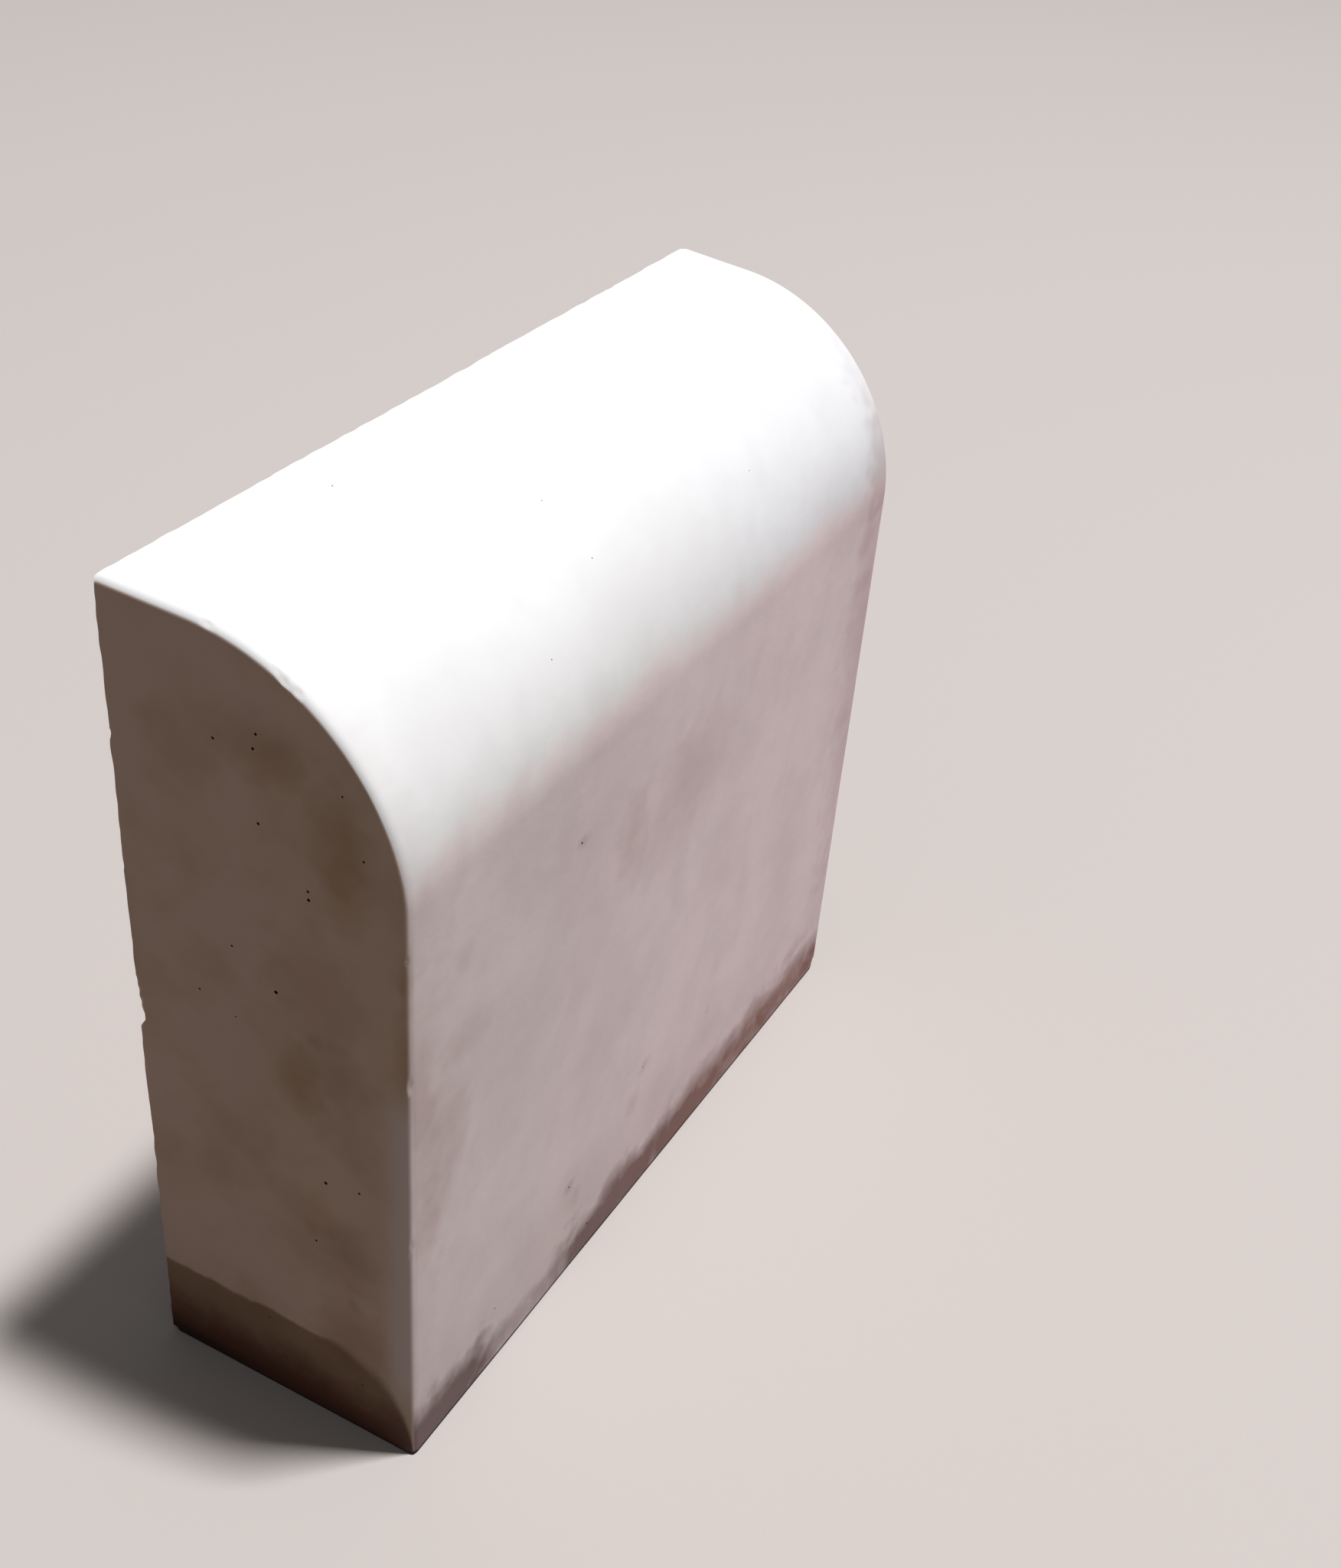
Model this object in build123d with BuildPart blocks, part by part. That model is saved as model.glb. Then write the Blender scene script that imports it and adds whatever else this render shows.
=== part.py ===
from build123d import *
import os

os.makedirs("parts", exist_ok=True)

# Kerb stone cast in one piece. Length runs along X, the front with its rounded nose
# looks to -Y, the plain back to +Y, and the bed lies on z = 0. Sizes in millimetres.
length = 306.0          # along the kerb line, at the back face, where it is longest
height = 300.0          # from the bed to the back edge of the top
depth = 100.0           # from front to back, at the bed
nose_radius = 70.0      # quarter-round that joins the top to the front
front_batter = 4.0      # the front leans back by this much from the bed to the top
top_fall = 3.0          # the top drops by this much from the back to the front
end_draft = 4.0         # each end steps in by this much from the back to the front
arris_radius = 3.0      # edges softened by the corners of the mould
back_arris = 0.8        # tighter edge round the back, the open side of the mould
spare = 20.0            # extra length that the two end cuts take off

back_y = depth / 2
front_y = -depth / 2
middle_x = length / 2 - end_draft / 2
nose_corner = (front_y + front_batter, height - top_fall)

with BuildPart() as kerb_stone:
    # Section across the kerb, with Y to the right and Z up, and the nose rounded off.
    with BuildSketch(Plane.YZ.offset(-length / 2 - spare)) as section:
        with BuildLine():
            Polyline((back_y, 0), (back_y, height), nose_corner, (front_y, 0), close=True)
        make_face()
        fillet(section.vertices().sort_by_distance(nose_corner)[0], radius=nose_radius)
    extrude(amount=length + 2 * spare)

    # Both ends are cut upright, along lines that draw in from the back to the front.
    with BuildSketch(Plane.XY.offset(-spare)):
        with BuildLine():
            Polyline((middle_x + end_draft, depth), (length, depth), (length, -depth),
                     (middle_x - end_draft, -depth), close=True)
        make_face()
        mirror(about=Plane.YZ)
    extrude(amount=height + 2 * spare, mode=Mode.SUBTRACT)

    # A soft arris follows each end, apart from its rear edge, and the foot of the front.
    near_end, *_, far_end = kerb_stone.faces().sort_by(Axis.X)
    end_edges = near_end.edges().sort_by(Axis.Y)[:-1] + far_end.edges().sort_by(Axis.Y)[:-1]
    foot_edge = kerb_stone.edges().filter_by(Axis.X).group_by(Axis.Z)[0].sort_by(Axis.Y)[0]
    fillet(end_edges + [foot_edge], radius=arris_radius)

    # A tight arris goes round the back.
    fillet(kerb_stone.faces().sort_by(Axis.Y)[-1].edges(), radius=back_arris)

kerb_stone.part.label = "kerb_stone"
export_step(kerb_stone.part, "parts/kerb_stone.step")
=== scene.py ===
import math
import random

import bmesh
import bpy
from mathutils import Matrix, Vector, noise
from mathutils.bvhtree import BVHTree


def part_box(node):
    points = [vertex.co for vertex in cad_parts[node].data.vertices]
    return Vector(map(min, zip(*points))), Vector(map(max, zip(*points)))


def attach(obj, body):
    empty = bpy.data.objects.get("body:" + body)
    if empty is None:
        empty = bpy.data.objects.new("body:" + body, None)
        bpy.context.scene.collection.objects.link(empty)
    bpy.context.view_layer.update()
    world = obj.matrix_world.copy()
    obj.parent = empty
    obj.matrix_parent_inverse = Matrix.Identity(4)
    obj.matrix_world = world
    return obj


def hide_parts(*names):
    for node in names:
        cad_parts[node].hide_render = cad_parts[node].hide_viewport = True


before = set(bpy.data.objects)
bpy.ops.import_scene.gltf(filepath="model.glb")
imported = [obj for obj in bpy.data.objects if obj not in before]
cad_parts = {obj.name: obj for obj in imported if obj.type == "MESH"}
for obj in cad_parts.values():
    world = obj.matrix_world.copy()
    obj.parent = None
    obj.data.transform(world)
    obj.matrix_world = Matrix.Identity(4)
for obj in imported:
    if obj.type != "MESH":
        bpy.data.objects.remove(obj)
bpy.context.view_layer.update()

# The kerb stone stands on its bed. X runs along the kerb line, from the near left end to
# the far right one. The rounded front looks to -Y and the plain back to +Y. Sizes are in
# metres, most of them given in millimetres.
MM = 0.001
KERB = "kerb_stone"
box_low, box_high = (Vector(corner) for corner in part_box(KERB))
FRONT_Y, BACK_Y = box_low.y, box_high.y
HEIGHT = box_high.z
HALF_LENGTH = box_high.x

# Form of the casting, the same as in the solid but for the edge round the bed.
NOSE_RADIUS = 70 * MM
FRONT_BATTER = 4 * MM       # how far the front leans back, up to the sharp nose corner
TOP_FALL = 3 * MM           # how far the top drops from the back to the nose corner
END_DRAFT = 4 * MM          # how far each end steps in from the back to the front
ARRIS = 3 * MM
BACK_ARRIS = 0.8 * MM
BED_ARRIS = 0.8 * MM
LEAST_RADIUS = 0.2 * MM     # keeps the points of a corner apart where its arris runs out

# Mesh steps. The bed and the rear get as many as the sides across from them, so that a
# grid can close each end.
FOOT_STEPS, NOSE_STEPS, BACK_STEPS = 4, 72, 4
TOP_SPANS, FRONT_SPANS = 12, 140
BED_SPANS = TOP_SPANS + (NOSE_STEPS - FOOT_STEPS) // 2
REAR_SPANS = FRONT_SPANS + (NOSE_STEPS + FOOT_STEPS) // 2 - BACK_STEPS
LENGTH_SPANS = 150
END_STEPS = 8
CROWDING = 0.35             # how much closer the mesh lines stand near the edges
SHARP_ANGLE = math.radians(38)

# Waves in the surface: size of their features, and seed.
MOULD = (38 * MM, 1)
GRAIN = (4 * MM, 2)
REAR_MARKS = (9 * MM, 3)
REAR_PITS = (3.5 * MM, 4)
CHIP_FACE = (2.0 * MM, 5)
STAIN_EDGE = (5 * MM, 6)
RIM = (6 * MM, 8)
SHIFT_Y, SHIFT_Z = 7.3, -3.1        # each step of the seed shifts the noise by 1 and these

# Depths of the relief, which is always cut into the casting, and how it is shared out.
MOULD_DEPTH = 0.16 * MM
GRAIN_DEPTH = 0.05 * MM
REAR_DEPTH = 0.55 * MM      # the back is struck off by hand and is rougher
RIM_DEPTH = 0.55 * MM       # and the edges round it are ragged
REAR_REACH = 3 * MM         # how far into the stone the roughness of the back reaches
RIM_WIDTH = 5 * MM
MARK_STRETCH = 3            # the marks on the back are drawn out along the stone
MARK_SHARE, PIT_SHARE = 0.6, 0.4
# The rim breaks where its wave is above this level, and in full after this rise.
RIM_LEVEL, RIM_RISE = 0.3, 0.4


def meet(side_a, side_b):
    """Point where two sides of the section cross; a side is (outward normal, offset)."""
    (a, offset_a), (b, offset_b) = side_a, side_b
    det = a.x * b.y - a.y * b.x
    return Vector(((offset_a * b.y - offset_b * a.y) / det,
                   (a.x * offset_b - b.x * offset_a) / det))


def moved_in(side, amount):
    normal, offset = side
    return normal, offset - amount


def section_sides():
    """Bed, front, top and back of the section, in (y, z), going round by the front."""
    nose = Vector((FRONT_Y + FRONT_BATTER, HEIGHT - TOP_FALL))
    foot = Vector((FRONT_Y, 0))
    rear = Vector((BACK_Y, HEIGHT))
    lean, fall = nose - foot, rear - nose
    front = Vector((-lean.y, lean.x)).normalized()
    top = Vector((-fall.y, fall.x)).normalized()
    return [(Vector((0, -1)), 0.0), (front, front.dot(foot)), (top, top.dot(rear)),
            (Vector((1, 0)), BACK_Y)]


def crowded(t):
    """Moves a share of a straight run towards its two ends."""
    return t - CROWDING * math.sin(2 * math.pi * t) / (2 * math.pi)


def section_loop(share):
    """Points and normals round the section, drawn in by a share of each arris."""
    insets = [BED_ARRIS, ARRIS, ARRIS, BACK_ARRIS]
    sides = [moved_in(side, share * inset) for side, inset in zip(section_sides(), insets)]
    foot = max(BED_ARRIS * (1 - share), LEAST_RADIUS)
    rear = max(BACK_ARRIS * (1 - share), LEAST_RADIUS)
    radii = [foot, NOSE_RADIUS - share * ARRIS, rear, rear]
    steps = [FOOT_STEPS, NOSE_STEPS, BACK_STEPS, BACK_STEPS]
    spans = [FRONT_SPANS, TOP_SPANS, REAR_SPANS, BED_SPANS]
    arcs = [corner_arc(sides[i], sides[(i + 1) % 4], radii[i], steps[i]) for i in range(4)]
    loop = []
    for i, arc in enumerate(arcs):
        loop += arc
        start, finish = arc[-1][0], arcs[(i + 1) % 4][0][0]
        normal = arc[-1][1]
        loop += [(start.lerp(finish, crowded(k / spans[i])), normal)
                 for k in range(1, spans[i])]
    # The loop starts in the middle of the corner between the back and the bed.
    turn = BACK_STEPS // 2 + BED_SPANS
    return loop[-turn:] + loop[:-turn]


def corner_arc(side_a, side_b, radius, steps):
    """Points and normals round the corner between two sides."""
    centre = meet(moved_in(side_a, radius), moved_in(side_b, radius))
    start = math.atan2(side_a[0].y, side_a[0].x)
    sweep = (math.atan2(side_b[0].y, side_b[0].x) - start) % (2 * math.pi) - 2 * math.pi
    arc = []
    for k in range(steps + 1):
        angle = start + sweep * k / steps
        normal = Vector((math.cos(angle), math.sin(angle)))
        arc.append((centre + normal * radius, normal))
    return arc


def end_place(y):
    """Distance from the middle of the stone to its end, at a given depth."""
    return HALF_LENGTH - END_DRAFT * (BACK_Y - y) / (BACK_Y - FRONT_Y)


def rings():
    """Rings of (place, normal) from the left end to the right one."""
    result = []
    for k in range(END_STEPS, 0, -1):
        result.append(end_ring(math.pi / 2 * k / END_STEPS, -1))
    plain = section_loop(0)
    for j in range(LENGTH_SPANS + 1):
        along = 2 * crowded(j / LENGTH_SPANS) - 1
        result.append([(Vector((along * (end_place(p.x) - arris_at(n)), p.x, p.y)),
                        Vector((0, n.x, n.y))) for p, n in plain])
    for k in range(1, END_STEPS + 1):
        result.append(end_ring(math.pi / 2 * k / END_STEPS, 1))
    return result


def arris_at(normal):
    """Arris of the end at a point of the section: tighter along the back and the bed."""
    return (ARRIS + (BACK_ARRIS - ARRIS) * max(normal.x, 0) ** 2
            + (BED_ARRIS - ARRIS) * max(-normal.y, 0) ** 2)


def end_ring(angle, hand):
    """Ring on an end's arris, turned by an angle from the long sides towards the end."""
    ring = []
    for p, n in section_loop(1 - math.cos(angle)):
        x = end_place(p.x) - arris_at(n) * (1 - math.sin(angle))
        normal = Vector((hand * math.sin(angle), n.x * math.cos(angle), n.y * math.cos(angle)))
        ring.append((Vector((hand * x, p.x, p.y)), normal))
    return ring


def cap_grid(ring):
    """Places inside an end ring, as a grid between its bed, front, top and back."""
    across = BACK_STEPS // 2 + BED_SPANS + FOOT_STEPS // 2
    upward = FOOT_STEPS // 2 + FRONT_SPANS + NOSE_STEPS // 2
    count = len(ring)

    def at(k):
        return ring[k % count][0]

    corners = [at(0), at(across), at(across + upward), at(2 * across + upward)]
    grid = {}
    for i in range(across + 1):
        for j in range(upward + 1):
            u, v = i / across, j / upward
            bed, top = at(i), at(2 * across + upward - i)
            rear, front = at(count - j), at(across + j)
            blend = (corners[0] * (1 - u) * (1 - v) + corners[1] * u * (1 - v)
                     + corners[2] * u * v + corners[3] * (1 - u) * v)
            grid[i, j] = bed * (1 - v) + top * v + rear * (1 - u) + front * u - blend
    return grid, across, upward


def wave(place, size, seed):
    """Soft noise from 0 to 1, with features of the given size."""
    shift = Vector((seed, SHIFT_Y * seed, SHIFT_Z * seed))
    return 0.5 + 0.5 * noise.noise(place / size + shift)


def relief(place, normal):
    """Place on the cast surface, a little below the ideal form."""
    depth = MOULD_DEPTH * wave(place, *MOULD) + GRAIN_DEPTH * wave(place, *GRAIN)
    shifted = place - normal * depth
    shifted.y -= struck_off(place)
    return shifted


def struck_off(place):
    """How far the back, struck off by hand, lies in front of its ideal plane."""
    near_back = 1 - (BACK_Y - place.y) / REAR_REACH
    if near_back <= 0:
        return 0.0
    along = Vector((place.x / MARK_STRETCH, place.y, place.z))
    depth = REAR_DEPTH * (MARK_SHARE * wave(along, *REAR_MARKS)
                          + PIT_SHARE * wave(place, *REAR_PITS))
    from_edge = min(HEIGHT - place.z, place.z, HALF_LENGTH - abs(place.x))
    ragged = min(max((wave(place, *RIM) - RIM_LEVEL) / RIM_RISE, 0), 1)
    return near_back * (depth + RIM_DEPTH * ragged * max(1 - from_edge / RIM_WIDTH, 0))


class Chip:
    """A shell-shaped chip out of an edge, cut by a rough ball."""

    def __init__(self, place, inward, reach, bite):
        self.bite = bite
        self.radius = (reach ** 2 + bite ** 2) / (2 * bite)
        inward = Vector(inward).normalized()
        self.centre = Vector(place) - inward * (self.radius - bite)

    def cut(self, place):
        offset = place - self.centre
        rough = self.radius + self.bite * (wave(place, *CHIP_FACE) - 0.5)
        if offset.length >= rough:
            return place
        return self.centre + offset.normalized() * rough


# Chips: place along the edge, reach along the edge and bite, in millimetres. Along the
# nose the place is an angle in degrees, up from the front.
REAR_EDGE_CHIPS = [(251, 2.5, 1.5), (156, 12, 1.9), (148, 6, 2.7), (96, 3, 1.2), (205, 3, 1.1)]
TOP_EDGE_CHIPS = [(-104, 3, 0.9), (-84, 4, 1.1), (99, 5, 1.1), (118, 2, 1.0), (20, 3, 0.7)]
NOSE_EDGE_CHIPS = [(27, 2.0, 1.7), (58, 1.8, 1.7), (61, 2.2, 1.9), (64, 1.6, 1.6),
                   (82, 1.8, 1.65), (79, 1.5, 1.5)]
FRONT_EDGE_CHIPS = [(169, 1.7, 1.9), (102, 2.0, 1.9), (98, 1.6, 1.7), (214, 1.7, 1.7)]
FRESH_DEPTH = 0.4 * MM              # a cut this deep shows the inside of the concrete

# Crumbs lost at random: how many along the rear edges at the top and the bed, how many up
# the right rear edge, and the range of their bite in millimetres.
CRUMB_SEED = 11
LONG_CRUMBS, LONG_CRUMB_BITES = 26, (0.4, 0.8)
SIDE_CRUMBS, SIDE_CRUMB_BITES = 14, (0.5, 1.2)
SIDE_CRUMB_PLACES = (0.02, 0.98)    # as shares of the height
CRUMB_REACH = 2.6                   # as a multiple of the bite


def chips():
    """Damage along the edges that the photograph shows, the corners, and some crumbs."""
    found = []
    for z, reach, bite in REAR_EDGE_CHIPS:
        found.append(Chip((-HALF_LENGTH, BACK_Y, z * MM), (0.5, -1, 0), reach * MM, bite * MM))
    for x, reach, bite in TOP_EDGE_CHIPS:
        found.append(Chip((x * MM, BACK_Y, HEIGHT), (0, -1, -0.8), reach * MM, bite * MM))
    for angle, reach, bite in NOSE_EDGE_CHIPS:
        found.append(nose_chip(math.radians(angle), reach * MM, bite * MM))
    for z, reach, bite in FRONT_EDGE_CHIPS:
        y = FRONT_Y + FRONT_BATTER * z * MM / HEIGHT
        found.append(Chip((-end_place(y), y, z * MM), (1, 1, 0), reach * MM, bite * MM))
    return found + corner_chips() + stray_crumbs()


def nose_chip(angle, reach, bite):
    """Chip in the left end's arris, at an angle up from the front of the nose."""
    _, front, top, _ = section_sides()
    centre = meet(moved_in(front, NOSE_RADIUS), moved_in(top, NOSE_RADIUS))
    out = Vector((-math.cos(angle), math.sin(angle)))
    spot = centre + out * NOSE_RADIUS
    return Chip((-end_place(spot.x), spot.x, spot.y), (1, -out.x, -out.y), reach, bite)


def corner_chips():
    """Broken corners: the right one at the rear top, the right one at the front foot, and
    both left ones at the rear."""
    far_foot = (end_place(FRONT_Y), FRONT_Y, 0)
    return [Chip((HALF_LENGTH, BACK_Y, HEIGHT), (-0.6, -0.8, -0.45), 10 * MM, 3.1 * MM),
            Chip(far_foot, (-1, 0.3, 0.8), 9 * MM, 5.0 * MM),
            Chip((-HALF_LENGTH, BACK_Y, 0), (1, -1, 1), 4.5 * MM, 2.2 * MM),
            Chip((-HALF_LENGTH, BACK_Y, HEIGHT), (0.6, -1, -0.5), 4 * MM, 1.2 * MM)]


def stray_crumbs():
    draw = random.Random(CRUMB_SEED)
    crumbs = []
    for _ in range(LONG_CRUMBS):
        x = draw.uniform(-HALF_LENGTH, HALF_LENGTH)
        bite = draw.uniform(*LONG_CRUMB_BITES) * MM
        upper = draw.random() < 0.5
        place = (x, BACK_Y, HEIGHT if upper else 0)
        crumbs.append(Chip(place, (0, -1, -1 if upper else 1), CRUMB_REACH * bite, bite))
    for _ in range(SIDE_CRUMBS):
        z = draw.uniform(*SIDE_CRUMB_PLACES) * HEIGHT
        bite = draw.uniform(*SIDE_CRUMB_BITES) * MM
        crumbs.append(Chip((HALF_LENGTH, BACK_Y, z), (-1, -1, 0), CRUMB_REACH * bite, bite))
    return crumbs


# Stains, and greyer shades: place (y, z) on the left end or (x, z) on the front, half
# width and half height in millimetres, and strength.
END_STAINS = [(-5, 262, 15, 11, 0.8), (-24, 246, 11, 20, 0.7), (-27, 228, 9, 14, 0.6),
              (-9, 151, 9, 18, 0.9), (-14, 96, 8, 13, 0.7), (-46, 172, 5, 34, 0.7),
              (-47, 208, 4, 16, 0.6)]
END_SHADES = [(-2, 268, 18, 14, 0.4), (-16, 190, 19, 24, 0.5), (-22, 160, 13, 15, 0.5),
              (-25, 82, 12, 22, 0.6), (-27, 44, 18, 22, 0.9), (-24, 238, 17, 30, 0.15),
              (-48, 183, 2.5, 24, 0.9), (8, 130, 26, 100, 0.2)]
FRONT_STAINS = [(-30, 180, 12, 21, 0.5), (-50, 196, 34, 32, 0.2), (-61, 200, 3.5, 3, 1.0),
                (-8, 64, 3.5, 4, 0.8), (-57, 45, 4, 4, 0.9), (-52, 36, 3, 7, 0.5),
                (-15, 50, 5, 7, 0.5), (41, 53, 2.5, 4, 0.4), (-120, 167, 17, 8, 0.4),
                (-145, 160, 8, 24, 0.5), (-135, 148, 13, 16, 0.3), (-129, 133, 12, 19, 0.5),
                (-134, 116, 10, 15, 0.35), (-141, 103, 9, 13, 0.4),
                (-123, 199, 6, 6, 0.3), (14, 188, 26, 24, 0.25), (134, 217, 9, 9, 0.4),
                (137, 199, 9, 6, 0.35), (136, 137, 8, 9, 0.3), (139, 50, 13, 22, 0.3),
                (42, 42, 18, 10, 0.25), (-140, 140, 22, 70, 0.3),
                (-149, 150, 16, 170, 0.35), (149, 160, 24, 140, 0.8), (-3, 178, 32, 32, 0.3),
                (151, 244, 19, 24, 0.8), (134, 232, 14, 10, 0.35)]

# Drier places in the damp hem along the front, and wetter ones with a strength below 0,
# listed in the same way as the stains.
HEM_PATCHES = [(-82, 8, 34, 30, 0.65), (-45, 18, 14, 9, 0.25), (5, 22, 16, 8, 0.25),
               (118, 6, 24, 20, 0.12), (105, 20, 10, 8, 0.2), (143, 24, 12, 9, 0.25),
               (-122, 18, 17, 11, -0.2), (-146, 2, 9, 10, -0.3), (-22, 17, 15, 10, -0.2),
               (30, 8, 14, 10, -0.2)]

# Where the lists hold: on the left end where a face looks this far to the left, and on
# the front where it looks this far forwards, as parts of its normal.
LEFT_END_X = -0.9 * HALF_LENGTH
LEFTWARD, FORWARD = -0.3, -0.5
# Stains have ragged edges: the distance from their middle is scaled by a wave from the
# first factor up to the sum of both.
LEAST_FACTOR, MORE_FACTOR = 0.7, 0.6


def stains_at(place, normal):
    """How strong the listed stains, shades and drier places are here."""
    if place.x < LEFT_END_X and normal.x < LEFTWARD:
        return (spotted(END_STAINS, place, place.y), spotted(END_SHADES, place, place.y), 0.0)
    if normal.y < FORWARD and place.y < 0:
        return (spotted(FRONT_STAINS, place, place.x), 0.0, spotted(HEM_PATCHES, place, place.x))
    return 0.0, 0.0, 0.0


def spotted(spots, place, across):
    ragged = LEAST_FACTOR + MORE_FACTOR * wave(place, *STAIN_EDGE)
    total = 0.0
    for middle, z, half_width, half_height, strength in spots:
        reach = math.hypot((across / MM - middle) / half_width,
                           (place.z / MM - z) / half_height) * ragged
        total += strength * max(1 - reach * reach, 0)
    return min(total, 1.0)


# Blow holes, in millimetres: (y, z, radius) on the left end, (x, z, radius) on the front
# and (x, y, radius) on top.
END_HOLES = [(14, 264, 0.50), (0, 270, 0.50), (1, 265, 0.58), (-27, 261, 0.36),
             (0, 241, 0.50), (-33, 243, 0.42), (-15, 225, 0.46), (-15, 222, 0.58),
             (12, 193, 0.42), (25, 170, 0.42), (-3, 182, 0.70), (12, 166, 0.32),
             (-17, 113, 0.66), (-30, 116, 0.48), (-13, 84, 0.48), (7, 34, 0.42),
             (-30, 24, 0.42)]
FRONT_HOLES = [(-32, 278, 0.22), (-68, 265, 0.22), (58, 272, 0.20), (-33, 291, 0.20),
               (-61, 200, 0.55), (-57, 45, 0.52), (-42, 12, 0.50), (-8, 64, 0.36),
               (-103, 27, 0.34), (41, 53, 0.28)]
TOP_HOLES = [(-76, 32, 0.28)]

# Holes set at random on the back and the right end: how many, ranges of their places
# across and up, and range of their radius, in millimetres.
HOLE_SEED = 5
REAR_HOLES = (24, (-140, 140), (12, 288), (0.4, 0.9))
FAR_END_HOLES = (12, (-38, 42), (12, 220), (0.3, 0.6))

HOLE_DEPTH = 0.9 * MM
# Radii of a hole's lip and floor, and the drop from its lip to its rim, as shares of its
# radius. The widest hole, and the room round it, are measured by the sides of its face.
LIP_RADIUS, FLOOR_RADIUS, RIM_DROP = 1.1, 0.7, 0.1
WIDEST_HOLE, HOLE_MARGIN = 0.40, 1.2
RAY_START = 1.0                     # outside the stone on every side


def hole_rays():
    """Start, direction and radius for each blow hole, aimed at the surface from outside."""
    far = RAY_START
    rays = [((-far, y * MM, z * MM), (1, 0, 0), r * MM) for y, z, r in END_HOLES]
    rays += [((x * MM, -far, z * MM), (0, 1, 0), r * MM) for x, z, r in FRONT_HOLES]
    rays += [((x * MM, y * MM, far), (0, 0, -1), r * MM) for x, y, r in TOP_HOLES]
    draw = random.Random(HOLE_SEED)
    rays += [((x, far, z), (0, -1, 0), r) for x, z, r in scattered(draw, *REAR_HOLES)]
    rays += [((far, y, z), (-1, 0, 0), r) for y, z, r in scattered(draw, *FAR_END_HOLES)]
    return rays


def scattered(draw, count, across, upward, radii):
    """Random places on a face, each with a radius."""
    spots = []
    for _ in range(count):
        a, z = draw.uniform(*across) * MM, draw.uniform(*upward) * MM
        spots.append((a, z, draw.uniform(*radii) * MM))
    return spots


def pierce(bm, pore):
    bm.faces.ensure_lookup_table()
    tree = BVHTree.FromBMesh(bm)
    targets = {}
    for start, direction, radius in hole_rays():
        spot, _, index, _ = tree.ray_cast(Vector(start), Vector(direction))
        targets[index] = (bm.faces[index], spot, radius)
    for face, spot, radius in targets.values():
        sink_hole(bm, pore, face, spot, radius)


def sink_hole(bm, pore, face, spot, radius):
    """Swaps a face for a fan of faces round a small round hole with a floor."""
    corners, normal = list(face.verts), face.normal.copy()
    centre, radius = hole_seat(face, spot, radius)
    axis = (corners[0].co - centre).normalized()
    other = normal.cross(axis)
    angles = fan_angles(corners, centre, axis, other)
    count = len(corners)

    def circle(size, depth):
        return [bm.verts.new(centre - normal * depth
                             + (axis * math.cos(a) + other * math.sin(a)) * size)
                for a in angles]

    lip, rim = circle(LIP_RADIUS * radius, 0), circle(radius, RIM_DROP * radius)
    floor = circle(FLOOR_RADIUS * radius, HOLE_DEPTH)
    # The rim and floor carry the painted shade of the hole.
    for vert in rim + floor:
        vert[pore] = 1.0
    bm.faces.remove(face)
    for k in range(count):
        here, there = corners[k], corners[(k + 1) % count]
        a, b, c = lip[2 * k], lip[2 * k + 1], lip[(2 * k + 2) % (2 * count)]
        for trio in ((here, b, a), (here, there, b), (there, c, b)):
            bm.faces.new(trio)
    for k in range(2 * count):
        bm.faces.new((lip[k - 1], lip[k], rim[k], rim[k - 1]))
        bm.faces.new((rim[k - 1], rim[k], floor[k], floor[k - 1]))
    bm.faces.new(floor)


def hole_seat(face, spot, radius):
    """Centre and radius of a hole near the spot that keep it inside its face."""
    middle = face.calc_center_median()
    span = min(edge.calc_length() for edge in face.edges)
    radius = min(radius, WIDEST_HOLE * span)
    room = max(0.5 * span - HOLE_MARGIN * radius, 0)
    shift = spot - middle
    if shift.length > room:
        shift = shift.normalized() * room
    return middle + shift, radius


def fan_angles(corners, centre, axis, other):
    """Angles round a hole: at each corner of its face, and half way to the next one."""
    turns = [math.atan2((c.co - centre).dot(other), (c.co - centre).dot(axis)) for c in corners]
    angles = []
    for turn, following in zip(turns, turns[1:] + turns[:1]):
        step = (following - turn + math.pi) % (2 * math.pi) - math.pi
        angles += [turn, turn + step / 2]
    return angles


def kerb_mesh():
    """The casting as a closed mesh: rings along its length and a grid over each end."""
    bm = bmesh.new()
    damage = chips()
    names = ("pore", "broken", "stain", "shade", "dry")
    layers = {name: bm.verts.layers.float.new(name) for name in names}

    def settled(place, normal):
        return worn_vert(bm, layers, damage, place, normal)

    base = rings()
    loops = [[settled(place, normal) for place, normal in ring] for ring in base]
    for one, two in zip(loops, loops[1:]):
        for k in range(len(one)):
            bm.faces.new((one[k - 1], one[k], two[k], two[k - 1]))
    for ring, loop, hand in ((base[0], loops[0], -1), (base[-1], loops[-1], 1)):
        close_end(bm, ring, loop, Vector((hand, 0, 0)), settled)
    bmesh.ops.recalc_face_normals(bm, faces=bm.faces)
    pierce(bm, layers["pore"])
    return bm


def worn_vert(bm, layers, damage, place, normal):
    """Vertex on the cast surface, cut back by the chips, that carries the marks there."""
    cast = relief(place, normal)
    worn = cast
    for chip in damage:
        worn = chip.cut(worn)
    vert = bm.verts.new(worn)
    vert[layers["broken"]] = min((worn - cast).length / FRESH_DEPTH, 1)
    vert[layers["stain"]], vert[layers["shade"]], vert[layers["dry"]] = stains_at(cast, normal)
    return vert


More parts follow.
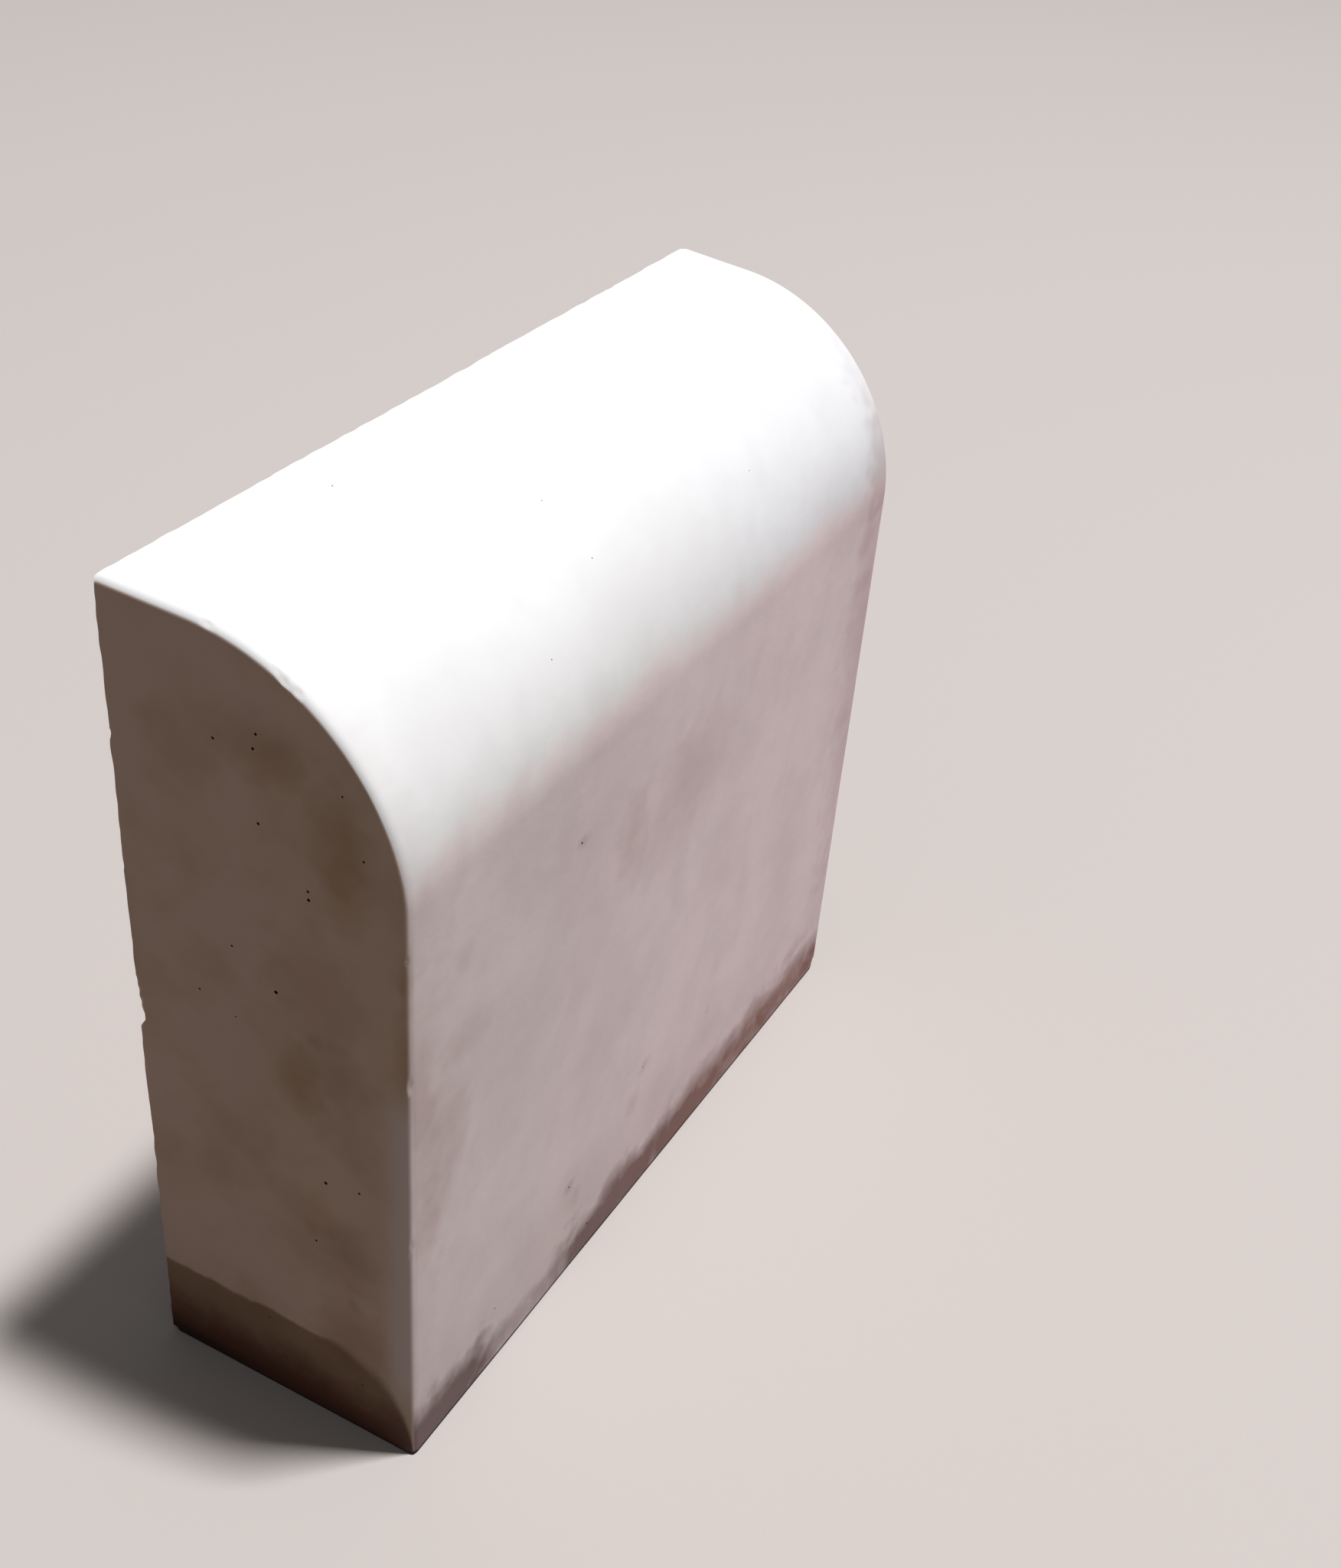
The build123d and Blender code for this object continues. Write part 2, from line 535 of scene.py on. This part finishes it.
def close_end(bm, ring, loop, normal, settled):
    """Closes an end with a grid that shares the vertices of the end's ring."""
    grid, across, upward = cap_grid(ring)
    count = len(loop)
    verts = {}
    for i in range(across + 1):
        verts[i, 0] = loop[i]
        verts[i, upward] = loop[2 * across + upward - i]
    for j in range(upward + 1):
        verts[0, j] = loop[(count - j) % count]
        verts[across, j] = loop[across + j]
    for i in range(1, across):
        for j in range(1, upward):
            verts[i, j] = settled(grid[i, j], normal)
    for i in range(across):
        for j in range(upward):
            bm.faces.new((verts[i, j], verts[i + 1, j], verts[i + 1, j + 1], verts[i, j + 1]))


def add_object(name, bm):
    mesh = bpy.data.meshes.new(name)
    bmesh.ops.recalc_face_normals(bm, faces=bm.faces)
    bm.to_mesh(mesh)
    bm.free()
    obj = bpy.data.objects.new(name, mesh)
    bpy.context.collection.objects.link(obj)
    return obj


# Colours are linear. The upright front carries a little mauve of painted reflected light,
# and the ends are darker and browner with painted shade and warm reflected light.
TOP_GREY = (0.612, 0.609, 0.611)
FAR_TOP_GREY = (0.604, 0.603, 0.624)
# The mauve on upright faces is painted reflected light, lighter towards the far end.
NEAR_MAUVE_BOUNCE = (0.600, 0.525, 0.516)
FAR_MAUVE_BOUNCE = (0.685, 0.566, 0.578)
# The ends' brown-grey is painted shade with warm reflected light.
BROWN_PAINTED_SHADE = (0.272, 0.189, 0.146)
END_EDGE = (0.280, 0.222, 0.194)
BROKEN_GREY = (0.60, 0.57, 0.54)
# Painted shade inside the blow holes.
PAINTED_PORE_SHADE = (0.015, 0.012, 0.010)
# Clouds, shades and stains multiply the colour under them by these.
CLOUD_SHADE = (0.87, 0.86, 0.86)
END_SHADE = (0.85, 0.84, 0.78)
FRONT_STAIN = (0.80, 0.74, 0.73)
END_STAIN = (0.81, 0.76, 0.60)
END_GREYER = (0.76, 0.68, 0.64)
# So does the damp: on the ends near its upper edge and near the bed, and along the front at
# its left and its right end. The thin dark line at the foot is painted contact shadow with damp.
DAMP_EDGE = (0.465, 0.385, 0.28)
DAMP_FOOT = (0.21, 0.078, 0.03)
NEAR_DAMP = (0.265, 0.205, 0.195)
FAR_DAMP = (0.345, 0.207, 0.172)
FOOT_SHADOW_AND_DAMP = (0.05, 0.02, 0.015)

ROUGHNESS = 0.86
SPECULAR = 0.35
BROKEN_SHARE = 0.35                 # how far a break shows its own grey
BUMP_STRENGTH = 0.35
BUMP_DEPTH = 0.12 * MM

# Noises in the colour: size of their features, detail, and roughness if it isn't 0.5.
WANDER_NOISE = (14 * MM, 2)
CLOUD_NOISE = (55 * MM, 2)
STREAK_NOISE = (22 * MM, 2)
MOTTLE_NOISE = (9 * MM, 3)
END_NOISE = (38 * MM, 3, 0.6)
HEM_NOISE = (18 * MM, 4, 0.6)
DRY_NOISE = (26 * MM, 3)
FLECK_NOISE = (7 * MM, 3)
BUMP_NOISE = (2.5 * MM, 3, 0.6)
SLANT = math.radians(15)            # lean of the streaks on the front
STREAK_STRETCH = 2.2

# A soft step is where it starts and where it ends, then the values there if they aren't
# 0 and 1. The steps of this group go by how far a face looks upward. The first two say how
# far sideways it has to look for the end's colour, painted shade, to start, and to be whole.
# The next turns the mauve of painted reflected light into grey as the face turns up.
END_START = (0.0, 0.25, 0.50, 0.84)
END_WHOLE = (0.0, 0.25, 0.88, 0.98)
MAUVE_TO_GREY = (0.03, 0.28)
WANDER = 0.28                       # how far noise moves the line between mauve and grey
# Clouds thin out as the face turns up: a painted highlight on the nose and top.
CLOUDS_UNDER_HIGHLIGHT = (0.05, 0.5, 1.0, 0.55)

# On the front: colour along the stone, and strength of the clouds, streaks and mottle.
MAUVE_RUN = (-160 * MM, 90 * MM)
TOP_RUN = (-30 * MM, 90 * MM)
CLOUDS = (0.38, 0.66, 0.0, 0.6)
STREAKS = (0.42, 0.70, 0.0, 0.5)
MOTTLE = (0.38, 0.68, 0.0, 0.2)

# On the ends: strength of the shades, browner towards the front, and a cooler strip along
# the front edge between two heights.
END_CLOUDS = (0.4, 0.7)
BROWNER = (10 * MM, -40 * MM, 0.0, 0.3)
COOLER = (-36 * MM, -46 * MM)
COOLER_BELOW = (175 * MM, 150 * MM)
COOLER_ABOVE = (15 * MM, 40 * MM)

# Damp hem along the front: its height from the left to the right, and how it fades out
# upwards, as shares of that height. Drier clouds and flecks lie in it, and above it is a
# faint halo, weaker to the right.
HEM_RUN = (-0.6 * HALF_LENGTH, 0.6 * HALF_LENGTH)
HEM_HEIGHTS = (24.5 * MM, 28 * MM)
HEM_RAGGED = 19 * MM
HEM_TOP = (1.15, 0.45, 0.0, 0.75)
HEM_BASE = (0.65, 0.3, 0.0, 0.25)
# The hem is lighter at the foot: painted light reflected from the floor, with some dust.
FOOT_BOUNCE_AND_DUST = (4 * MM, 1.5 * MM, 0.0, 0.12)
DRY_CLOUDS = (0.5, 0.72, 0.0, 0.25)
DRY_FLECKS = (0.45, 0.70, 0.0, 0.15)
HALO_RISE = (70 * MM, 25 * MM, 0.0, 0.14)
HALO_RUN = (60 * MM, 0.0, 0.2, 1.0)

# Damp hem on the ends: level at the back, then down in a curve to the front, deeper in
# tone towards the bed, and darkest at the rear foot with painted shade and damp.
END_HEM = 38 * MM
CURVE_START, CURVE_RUN, CURVE_POWER = -15 * MM, 34 * MM, 2.6
LINE_RAGGED = 6 * MM
LINE_BLUR = (-10 * MM, -35 * MM, 1 * MM, 4.5 * MM)
DEEPER = (31 * MM, 8 * MM)
DEEPER_RAGGED = 24 * MM
REAR_FOOT = (8 * MM, 3 * MM)
REAR_RUN = (0.0, 40 * MM, 0.1, 0.7)
# The dark line at the foot is painted contact shadow, with some damp.
BED_LINE = (1.7 * MM, 1.0 * MM)     # height of the dark line at the foot, on all sides


class Shader:
    """Short calls for building one material's nodes."""

    def __init__(self, name):
        self.material = bpy.data.materials.new(name)
        self.material.use_nodes = True
        self.nodes = self.material.node_tree.nodes
        self.links = self.material.node_tree.links
        self.surface = self.nodes["Principled BSDF"]

    def put(self, socket, value):
        if isinstance(value, bpy.types.NodeSocket):
            self.links.new(value, socket)
        elif isinstance(value, tuple) and len(value) == 3 and socket.type == "RGBA":
            socket.default_value = (*value, 1)
        else:
            socket.default_value = value

    def parts(self, vector):
        """X, Y and Z of a vector."""
        node = self.nodes.new("ShaderNodeSeparateXYZ")
        self.put(node.inputs[0], vector)
        return node.outputs

    def noise(self, place, size, detail=2.0, rough=0.5):
        node = self.nodes.new("ShaderNodeTexNoise")
        node.inputs["Scale"].default_value = 1 / size
        node.inputs["Detail"].default_value = detail
        node.inputs["Roughness"].default_value = rough
        self.put(node.inputs["Vector"], place)
        return node.outputs["Fac"]

    def swing(self, place, *kind):
        """Noise that swings about 0."""
        return self.math("SUBTRACT", self.noise(place, *kind), 0.5)

    def math(self, action, a, b=0.0):
        node = self.nodes.new("ShaderNodeMath")
        node.operation = action
        self.put(node.inputs[0], a)
        self.put(node.inputs[1], b)
        return node.outputs[0]

    def ramp(self, value, start, finish, low=0.0, high=1.0):
        """Smooth step from low, at start, to high, at finish."""
        node = self.nodes.new("ShaderNodeMapRange")
        node.interpolation_type = "SMOOTHSTEP"
        for name, entry in (("Value", value), ("From Min", start), ("From Max", finish),
                            ("To Min", low), ("To Max", high)):
            self.put(node.inputs[name], entry)
        return node.outputs[0]

    def mix(self, share, a, b, blend="MIX"):
        node = self.nodes.new("ShaderNodeMix")
        node.data_type = "RGBA"
        node.blend_type = blend
        self.put(node.inputs["Factor"], share)
        self.put(node.inputs["A"], a)
        self.put(node.inputs["B"], b)
        return node.outputs["Result"]

    def attribute(self, name):
        node = self.nodes.new("ShaderNodeAttribute")
        node.attribute_name = name
        return node.outputs["Fac"]

    def leaning(self, place, stretch, tilt):
        """Place stretched upwards, along a line that leans towards the far end."""
        node = self.nodes.new("ShaderNodeMapping")
        node.vector_type = "TEXTURE"
        node.inputs["Scale"].default_value = (1, 1, stretch)
        node.inputs["Rotation"].default_value = (0, tilt, 0)
        self.put(node.inputs["Vector"], place)
        return node.outputs[0]


def concrete():
    s = Shader("cast_concrete")
    place = s.nodes.new("ShaderNodeTexCoord").outputs["Object"]
    at = s.parts(place)
    facing = s.parts(s.nodes.new("ShaderNodeNewGeometry").outputs["Normal"])
    # The end colour of painted shade and warm reflected light runs on over half of the
    # upright arris, but not over the nose.
    upward = facing["Z"]
    end = s.ramp(s.math("ABSOLUTE", facing["X"]),
                 s.ramp(upward, *END_START), s.ramp(upward, *END_WHOLE))

    front = front_colour(s, place, at["X"], upward)
    dry = s.mix(end, front, end_colour(s, place, at["Y"], at["Z"]))
    dry = s.mix(s.math("MULTIPLY", s.attribute("broken"), BROKEN_SHARE), dry, BROKEN_GREY)
    damp = damped(s, place, dry, at, end)
    # The blow holes' rim and floor get painted shade.
    s.put(s.surface.inputs["Base Color"], s.mix(s.attribute("pore"), damp, PAINTED_PORE_SHADE))
    s.surface.inputs["Roughness"].default_value = ROUGHNESS
    s.surface.inputs["Specular IOR Level"].default_value = SPECULAR
    s.put(s.surface.inputs["Normal"], fine_bump(s, place))
    return s.material


def front_colour(s, place, x, upward):
    """Pale grey, mauve of painted reflected light on the face, with soft clouds and faint
    slanting streaks.
    """
    mauve = s.mix(s.ramp(x, *MAUVE_RUN), NEAR_MAUVE_BOUNCE, FAR_MAUVE_BOUNCE)
    top = s.mix(s.ramp(x, *TOP_RUN), TOP_GREY, FAR_TOP_GREY)
    slanted = s.leaning(place, STREAK_STRETCH, SLANT)
    wander = s.math("MULTIPLY", s.swing(slanted, *WANDER_NOISE), WANDER)
    # Upright faces get the mauve of painted reflected light, faces that turn up the grey.
    plain = s.mix(s.ramp(s.math("ADD", upward, wander), *MAUVE_TO_GREY), mauve, top)
    clouds = s.ramp(s.noise(place, *CLOUD_NOISE), *CLOUDS)
    streaks = s.ramp(s.noise(slanted, *STREAK_NOISE), *STREAKS)
    mottle = s.ramp(s.noise(place, *MOTTLE_NOISE), *MOTTLE)
    share = s.math("ADD", s.math("MAXIMUM", clouds, streaks), mottle)
    # Painted highlight: fewer clouds where the face turns up.
    share = s.math("MULTIPLY", share, s.ramp(upward, *CLOUDS_UNDER_HIGHLIGHT))
    shaded = s.mix(share, plain, CLOUD_SHADE, "MULTIPLY")
    return s.mix(s.attribute("stain"), shaded, FRONT_STAIN, "MULTIPLY")


def end_colour(s, place, y, z):
    """Brown-grey of painted shade and warm reflected light, with wide soft shades and olive
    stains, cooler low along the front.
    """
    clouds = s.ramp(s.noise(place, *END_NOISE), *END_CLOUDS)
    shaded = s.mix(clouds, BROWN_PAINTED_SHADE, END_SHADE, "MULTIPLY")
    browner = s.ramp(y, *BROWNER)
    share = s.math("MINIMUM", s.math("ADD", s.attribute("stain"), browner), 1.0)
    stained = s.mix(share, shaded, END_STAIN, "MULTIPLY")
    greyer = s.mix(s.attribute("shade"), stained, END_GREYER, "MULTIPLY")
    between = s.math("MULTIPLY", s.ramp(z, *COOLER_BELOW), s.ramp(z, *COOLER_ABOVE))
    cooler = s.math("MULTIPLY", s.ramp(y, *COOLER), between)
    return s.mix(cooler, greyer, END_EDGE)


def damped(s, place, dry, at, end):
    """Damp drawn up from the ground: a soft dark hem in front, a sharper one on the ends,
    and a thin line of painted contact shadow at the foot.
    """
    ragged = s.swing(place, *HEM_NOISE)
    front = front_hem(s, place, dry, at, ragged)
    both = s.mix(end, front, end_hem(s, dry, at, ragged))
    # Painted contact shadow, with damp, in a thin dark line at the foot on all sides.
    return s.mix(s.ramp(at["Z"], *BED_LINE), both, FOOT_SHADOW_AND_DAMP, "MULTIPLY")


def front_hem(s, place, dry, at, ragged):
    """Hem with drier clouds, flecks and patches, a lighter foot of painted reflected light and
    dust, and a faint halo above it.
    """
    x, z = at["X"], at["Z"]
    height = s.math("ADD", s.ramp(x, *HEM_RUN, *HEM_HEIGHTS),
                    s.math("MULTIPLY", ragged, HEM_RAGGED))
    level = s.math("DIVIDE", z, height)
    soft = s.math("ADD", s.ramp(level, *HEM_TOP), s.ramp(level, *HEM_BASE))
    # Painted reflected light from the floor, with dust, lightens the hem at the foot.
    soft = s.math("SUBTRACT", soft, s.ramp(z, *FOOT_BOUNCE_AND_DUST))
    soft = s.math("SUBTRACT", soft, s.ramp(s.noise(place, *DRY_NOISE), *DRY_CLOUDS))
    soft = s.math("SUBTRACT", soft, s.ramp(s.noise(place, *FLECK_NOISE), *DRY_FLECKS))
    soft = s.math("SUBTRACT", soft, s.attribute("dry"))
    faint = s.math("MULTIPLY", s.ramp(z, *HALO_RISE), s.ramp(x, *HALO_RUN))
    soft = s.math("ADD", s.math("MAXIMUM", soft, 0.0), faint)
    wet = s.mix(s.ramp(x, *HEM_RUN), NEAR_DAMP, FAR_DAMP)
    return s.mix(s.math("MINIMUM", soft, 1.0), dry, wet, "MULTIPLY")


def end_hem(s, dry, at, ragged):
    """Hem under a fairly sharp line, darker towards the bed, and painted shade at the rear foot.
    """
    y, z = at["Y"], at["Z"]
    past = s.math("DIVIDE", s.math("MAXIMUM", s.math("SUBTRACT", CURVE_START, y), 0.0), CURVE_RUN)
    fall = s.math("SUBTRACT", 1.0, s.math("POWER", past, CURVE_POWER))
    line = s.math("MULTIPLY", s.math("SQRT", s.math("MAXIMUM", fall, 0.0)), END_HEM)
    line = s.math("ADD", line, s.math("MULTIPLY", ragged, LINE_RAGGED))
    blur = s.ramp(y, *LINE_BLUR)
    sharp = s.ramp(s.math("SUBTRACT", line, z), s.math("MULTIPLY", blur, -1.0), blur)
    deeper = s.ramp(s.math("ADD", z, s.math("MULTIPLY", ragged, DEEPER_RAGGED)), *DEEPER)
    side = s.mix(sharp, dry, s.mix(deeper, DAMP_EDGE, DAMP_FOOT), "MULTIPLY")
    # Painted shade, with damp, darkest at the rear foot.
    rear = s.math("MULTIPLY", s.ramp(z, *REAR_FOOT), s.ramp(y, *REAR_RUN))
    return s.mix(rear, side, FOOT_SHADOW_AND_DAMP, "MULTIPLY")


def fine_bump(s, place):
    grain = s.noise(place, *BUMP_NOISE)
    bump = s.nodes.new("ShaderNodeBump")
    bump.inputs["Strength"].default_value = BUMP_STRENGTH
    bump.inputs["Distance"].default_value = BUMP_DEPTH
    s.put(bump.inputs["Height"], grain)
    return bump.outputs["Normal"]


def build_kerb():
    kerb = add_object("cast_kerb_stone", kerb_mesh())
    kerb.data.shade_smooth()
    kerb.data.set_sharp_from_angle(angle=SHARP_ANGLE)
    kerb.data.materials.append(concrete())
    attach(kerb, "root")
    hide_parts(KERB)


# Floor, one lamp high above it and a plain sky.
FLOOR_SIZE = 10.0
FLOOR_TONE = (0.385, 0.35, 0.335)
FLOOR_ROUGHNESS = 0.9
LIGHT_DIRECTION = Vector((0.108, -0.168, 0.980))
LIGHT_DISTANCE = 6.0
LIGHT_SIZE = 0.5
LIGHT_POWER = 590.0
SKY_WHITE = (1.0, 1.0, 1.0, 1)
SKY_STRENGTH = 0.20


def build_floor():
    bm = bmesh.new()
    bmesh.ops.create_grid(bm, x_segments=1, y_segments=1, size=FLOOR_SIZE / 2)
    floor = add_object("floor", bm)
    s = Shader("floor_paint")
    s.surface.inputs["Base Color"].default_value = (*FLOOR_TONE, 1)
    s.surface.inputs["Roughness"].default_value = FLOOR_ROUGHNESS
    floor.data.materials.append(s.material)


def build_light():
    light = bpy.data.lights.new("softbox", "AREA")
    light.size = LIGHT_SIZE
    light.energy = LIGHT_POWER
    lamp = bpy.data.objects.new("softbox", light)
    bpy.context.collection.objects.link(lamp)
    target = Vector((0, 0, HEIGHT / 2))
    lamp.location = target + LIGHT_DIRECTION * LIGHT_DISTANCE
    lamp.rotation_euler = LIGHT_DIRECTION.to_track_quat("Z", "Y").to_euler()


def build_sky():
    world = bpy.data.worlds.new("studio")
    world.use_nodes = True
    sky = world.node_tree.nodes["Background"]
    sky.inputs["Color"].default_value = SKY_WHITE
    sky.inputs["Strength"].default_value = SKY_STRENGTH
    bpy.context.scene.world = world
    bpy.context.scene.view_settings.view_transform = "Standard"


# Camera of the photograph: place, heading from +Y, angle down and roll.
CAMERA_PLACE = (-0.4555, -0.2703, 0.5538)
CAMERA_HEADING = math.radians(-63.58)
CAMERA_DOWN = math.radians(36.01)
CAMERA_ROLL = math.radians(5.96)
CAMERA_LENS = 43.79                 # in millimetres, like the sensor
SENSOR_HEIGHT = 36                  # along the tall side of the picture
CLIP_START = 0.01


def build_camera():
    data = bpy.data.cameras.new("photo_camera")
    data.sensor_fit = "VERTICAL"
    data.sensor_height = SENSOR_HEIGHT
    data.lens = CAMERA_LENS
    data.clip_start = CLIP_START
    camera = bpy.data.objects.new("photo_camera", data)
    bpy.context.collection.objects.link(camera)
    camera.matrix_world = (Matrix.Translation(CAMERA_PLACE)
                           @ Matrix.Rotation(CAMERA_HEADING, 4, "Z")
                           @ Matrix.Rotation(math.pi / 2 - CAMERA_DOWN, 4, "X")
                           @ Matrix.Rotation(CAMERA_ROLL, 4, "Z"))
    bpy.context.scene.camera = camera


build_kerb()
build_floor()
build_light()
build_sky()
build_camera()
